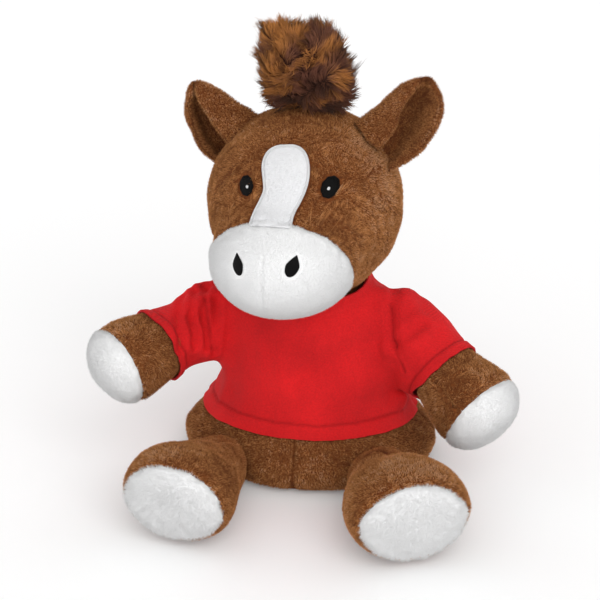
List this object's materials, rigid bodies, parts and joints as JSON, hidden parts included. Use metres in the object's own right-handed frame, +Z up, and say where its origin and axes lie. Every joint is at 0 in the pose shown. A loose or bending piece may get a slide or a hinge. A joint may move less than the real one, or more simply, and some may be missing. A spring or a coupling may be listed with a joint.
{
  "type": "plush horse",
  "caption": "Sitting stuffed toy horse in a short red T-shirt, with a white muzzle and blaze, white hooves and a fur tuft; head, limbs, ears and tail move.",
  "frame": {"origin": "on the floor, under the middle of the torso", "axes": "+Z up, -Y the way the horse faces, +X towards its left side"},
  "size_m": [0.1657, 0.168, 0.1823],
  "materials": {
    "brown_pile": "short brown pile fabric",
    "white_pile": "short white pile fabric",
    "black_thread": "black embroidery thread",
    "white_thread": "white embroidery thread",
    "fibre": "loose polyester fibre",
    "lining_cloth": "woven bag cloth",
    "long_fur": "long amber and dark brown fur",
    "backing": "woven strip",
    "jersey": "red knitted jersey"
  },
  "bodies": {
    "body": {"torso_skin": "brown_pile", "torso_stuffing": "fibre", "pellet_pouch": "lining_cloth", "shirt_body": "jersey", "shirt_collar": "jersey"},
    "neck": {"neck_stuffing": "fibre"},
    "head": {"head_skin": "brown_pile", "muzzle_skin": "white_pile", "head_stuffing": "fibre", "blaze": "white_pile", "eye_left": "black_thread", "eye_right": "black_thread", "eye_glint_left": "white_thread", "eye_glint_right": "white_thread", "nostril_left": "black_thread", "nostril_right": "black_thread", "mane_backing": "backing", "forelock_fur": "long_fur", "mane_fur": "long_fur"},
    "ear_left": {"ear_back_left": "brown_pile", "ear_lining_left": "brown_pile"},
    "ear_right": {"ear_back_right": "brown_pile", "ear_lining_right": "brown_pile"},
    "arm_left": {"arm_skin_left": "brown_pile", "arm_stuffing_left": "fibre", "hoof_left": "white_pile", "sleeve_left": "jersey"},
    "arm_right": {"arm_skin_right": "brown_pile", "arm_stuffing_right": "fibre", "hoof_right": "white_pile", "sleeve_right": "jersey"},
    "leg_left": {"leg_skin_left": "brown_pile", "leg_stuffing_left": "fibre", "sole_left": "white_pile"},
    "leg_right": {"leg_skin_right": "brown_pile", "leg_stuffing_right": "fibre", "sole_right": "white_pile"},
    "tail": {"tail_fur": "long_fur"}
  },
  "joints": [
    {"name": "head_turn", "type": "hinge", "parent": "body", "child": "neck", "pos_m": [-0.0016, -0.004, 0.111], "axis": [0, 0, 1], "range_deg": [-25, 25], "stiffness_Nm_per_rad": 0.1},
    {"name": "head_nod", "type": "hinge", "parent": "neck", "child": "head", "pos_m": [-0.0016, -0.004, 0.111], "axis": [0.9945, -0.1045, 0], "range_deg": [-14, 2], "stiffness_Nm_per_rad": 0.15},
    {"name": "ear_left_flop", "type": "hinge", "parent": "head", "child": "ear_left", "pos_m": [0.02984, -0.0073, 0.13615], "axis": [0.5951, -0.2198, -0.773], "range_deg": [-10, 10], "stiffness_Nm_per_rad": 0.01},
    {"name": "arm_left_swing", "type": "hinge", "parent": "body", "child": "arm_left", "pos_m": [0.03609, -0.003, 0.0595], "axis": [-0.5807, -0.8141, 0], "range_deg": [-10, 30], "stiffness_Nm_per_rad": 0.08, "deforming": ["sleeve_left"]},
    {"name": "leg_left_lift", "type": "hinge", "parent": "body", "child": "leg_left", "pos_m": [0.02897, -0.02835, 0.022], "axis": [-0.9336, -0.3584, 0], "range_deg": [0, 20], "stiffness_Nm_per_rad": 0.08},
    {"name": "ear_right_flop", "type": "hinge", "parent": "head", "child": "ear_right", "pos_m": [-0.03238, -0.00076, 0.13697], "axis": [0.6477, 0.0892, 0.7566], "range_deg": [-10, 10], "stiffness_Nm_per_rad": 0.01},
    {"name": "arm_right_swing", "type": "hinge", "parent": "body", "child": "arm_right", "pos_m": [-0.03609, -0.003, 0.0595], "axis": [-0.7133, 0.7009, 0], "range_deg": [-10, 30], "stiffness_Nm_per_rad": 0.08, "deforming": ["sleeve_right"]},
    {"name": "leg_right_lift", "type": "hinge", "parent": "body", "child": "leg_right", "pos_m": [-0.02722, -0.02943, 0.022], "axis": [-0.9816, 0.1908, 0], "range_deg": [0, 20], "stiffness_Nm_per_rad": 0.08},
    {"name": "tail_lift", "type": "hinge", "parent": "body", "child": "tail", "pos_m": [0, 0.03993, 0.022], "axis": [1, 0, 0], "range_deg": [0, 35], "stiffness_Nm_per_rad": 0.01}
  ]
}
